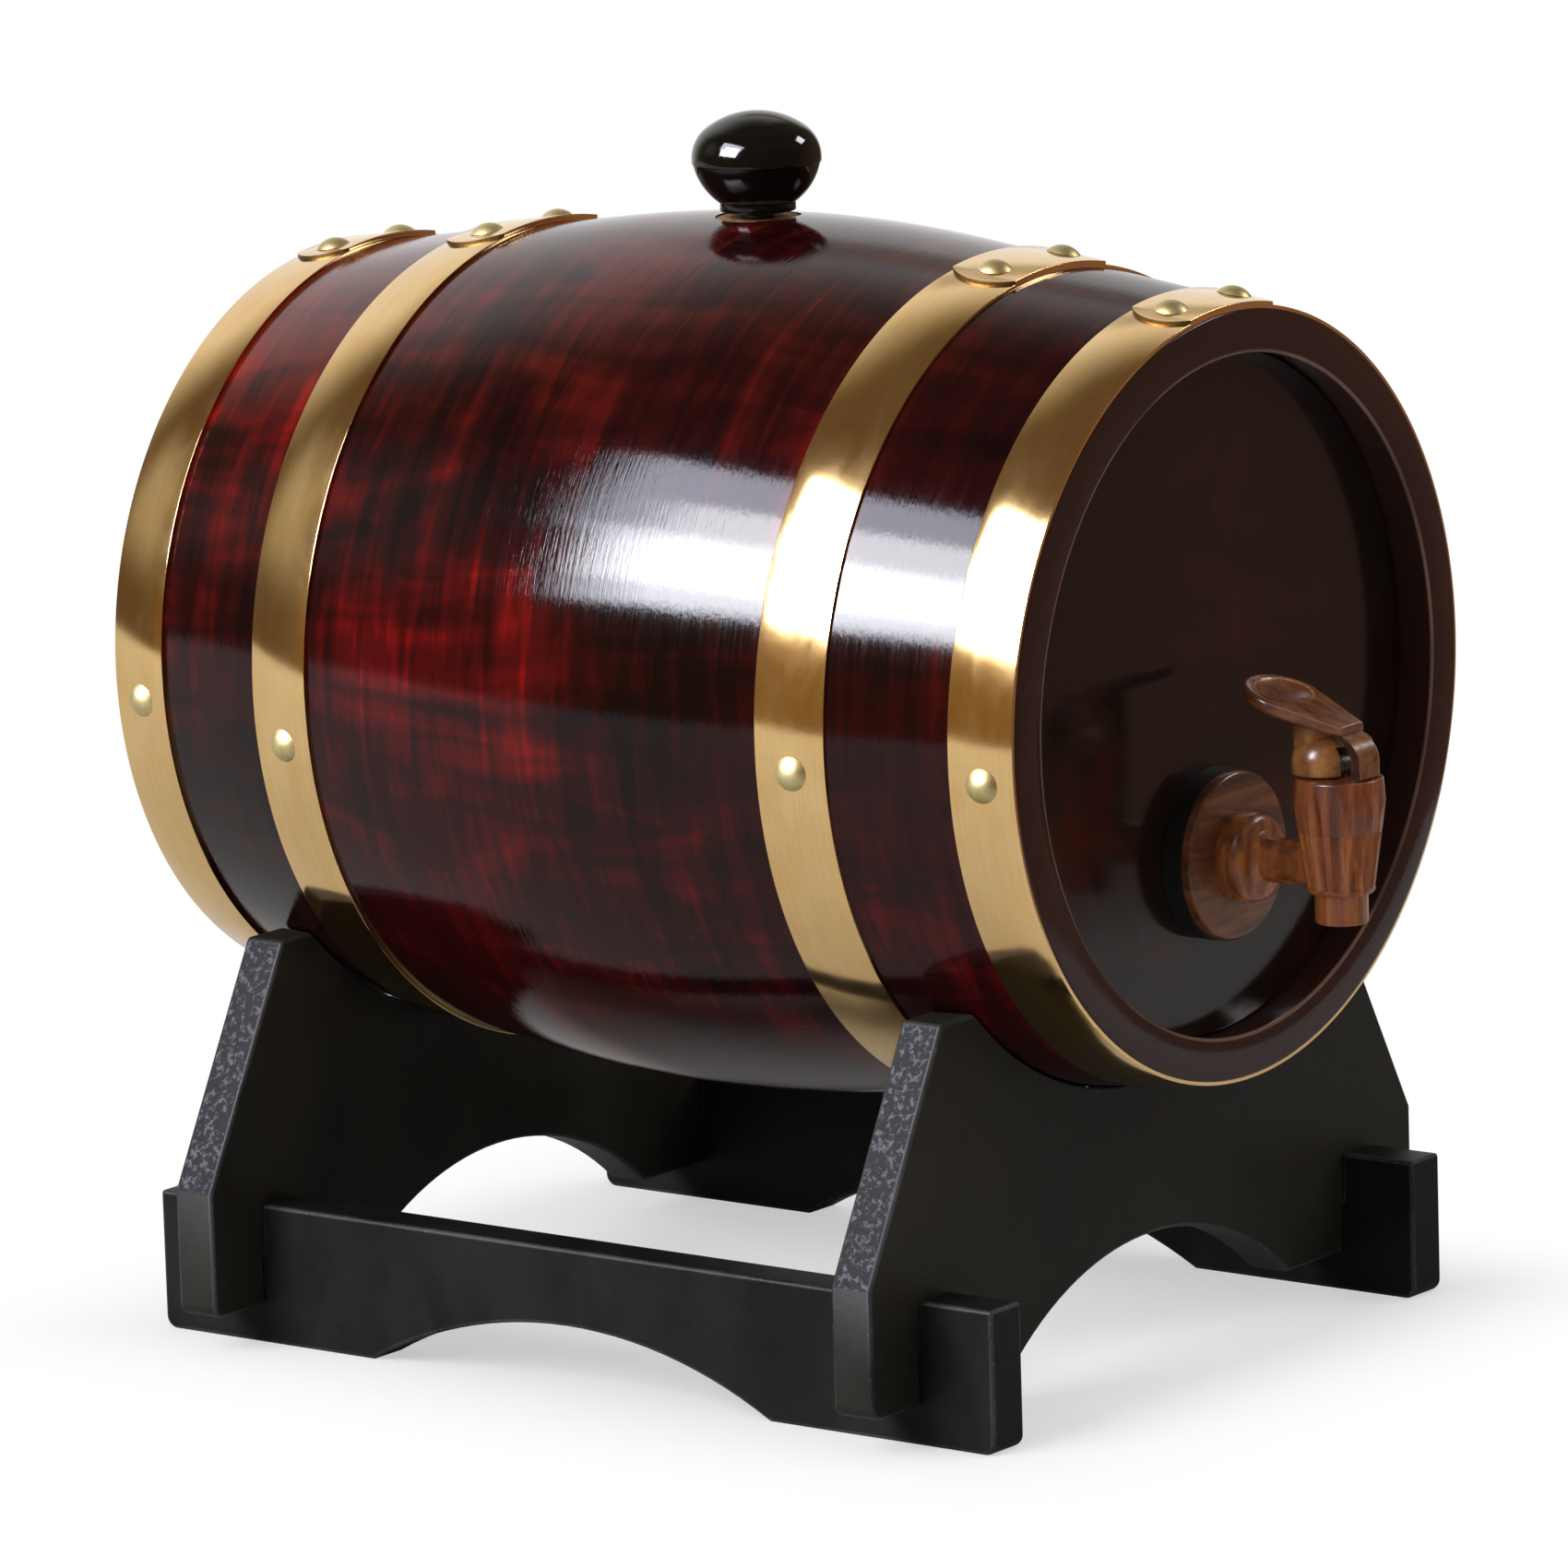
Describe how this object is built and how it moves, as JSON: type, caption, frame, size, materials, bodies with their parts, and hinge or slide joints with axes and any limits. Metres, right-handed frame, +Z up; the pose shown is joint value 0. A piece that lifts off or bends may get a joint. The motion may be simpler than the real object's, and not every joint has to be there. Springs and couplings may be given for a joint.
{
  "type": "wooden barrel dispenser",
  "caption": "Small lacquered wooden cask with brass hoops, a press tap in its front head and a turned bung knob, lying in a black cradle.",
  "frame": {"origin": "centre of the footprint of the whole object, on the surface that the cradle stands on", "axes": "+Z up, the cask's axis along Y with the tap towards -Y, X across the cask"},
  "size_m": [0.2174, 0.2963, 0.2855],
  "materials": {
    "stave_lacquer": "mahogany stain under gloss lacquer",
    "head_lacquer": "dark walnut stain under satin lacquer",
    "hoop_brass": "polished with fine lines round the hoop",
    "nail_brass": "polished",
    "knob_gloss": "black gloss lacquer",
    "cork": "raw cork",
    "tap_brown": "moulded, brown with a wood grain",
    "tap_rubber": "matt",
    "seal_silicone": "matt",
    "nut_plastic": "moulded",
    "tap_steel": "bright drawn",
    "stand_black": "black satin paint, lightly rubbed at the edges"
  },
  "bodies": {
    "stand": {"stand_rail_left": "stand_black", "stand_rail_right": "stand_black", "stand_board_front": "stand_black", "stand_board_rear": "stand_black"},
    "barrel": {"stave_01": "stave_lacquer", "stave_02": "stave_lacquer", "stave_03": "stave_lacquer", "stave_04": "stave_lacquer", "stave_05": "stave_lacquer", "stave_06": "stave_lacquer", "stave_07": "stave_lacquer", "stave_08": "stave_lacquer", "stave_09": "stave_lacquer", "stave_10": "stave_lacquer", "stave_11": "stave_lacquer", "stave_12": "stave_lacquer", "stave_13": "stave_lacquer", "stave_14": "stave_lacquer", "stave_15": "stave_lacquer", "stave_16": "stave_lacquer", "front_head": "head_lacquer", "rear_head": "head_lacquer", "front_end_hoop": "hoop_brass", "front_quarter_hoop": "hoop_brass", "rear_quarter_hoop": "hoop_brass", "rear_end_hoop": "hoop_brass", "front_end_hoop_nails": "nail_brass", "front_quarter_hoop_nails": "nail_brass", "rear_quarter_hoop_nails": "nail_brass", "rear_end_hoop_nails": "nail_brass", "tap_body": "tap_brown", "tap_rosette": "tap_brown", "tap_washer_outer": "tap_rubber", "tap_washer_inner": "tap_rubber", "tap_nut": "nut_plastic", "tap_bonnet": "tap_brown", "tap_gland_washer": "nut_plastic", "tap_o_ring": "tap_rubber"},
    "bung": {"bung_knob": "knob_gloss", "bung_cork": "cork"},
    "lever": {"tap_lever": "tap_brown", "tap_lever_pin": "tap_steel"},
    "plunger": {"tap_stem": "tap_steel", "tap_spring_retainer": "tap_steel", "tap_seat_plug": "seal_silicone", "tap_spring": "tap_steel"}
  },
  "joints": [
    {"name": "barrel_lift", "type": "slide", "parent": "stand", "child": "barrel", "axis": [0, 0, 1], "range_m": [0, 0.06]},
    {"name": "bung_lift", "type": "slide", "parent": "barrel", "child": "bung", "axis": [0, 0, 1], "range_m": [0, 0.045]},
    {"name": "lever_press", "type": "hinge", "parent": "barrel", "child": "lever", "pos_m": [0, -0.12745, 0.14265], "axis": [-1, 0, 0], "range_deg": [0, 20], "stiffness_Nm_per_rad": 0.084, "springref_deg": -39.53},
    {"name": "plunger_lift", "type": "slide", "parent": "barrel", "child": "plunger", "axis": [0, 0, 1], "range_m": [0, 0.00337], "deforming": ["tap_spring"]}
  ],
  "couplings": [
    {"joint": "plunger_lift", "follows": "lever_press", "m_per_rad": 0.0096515}
  ]
}
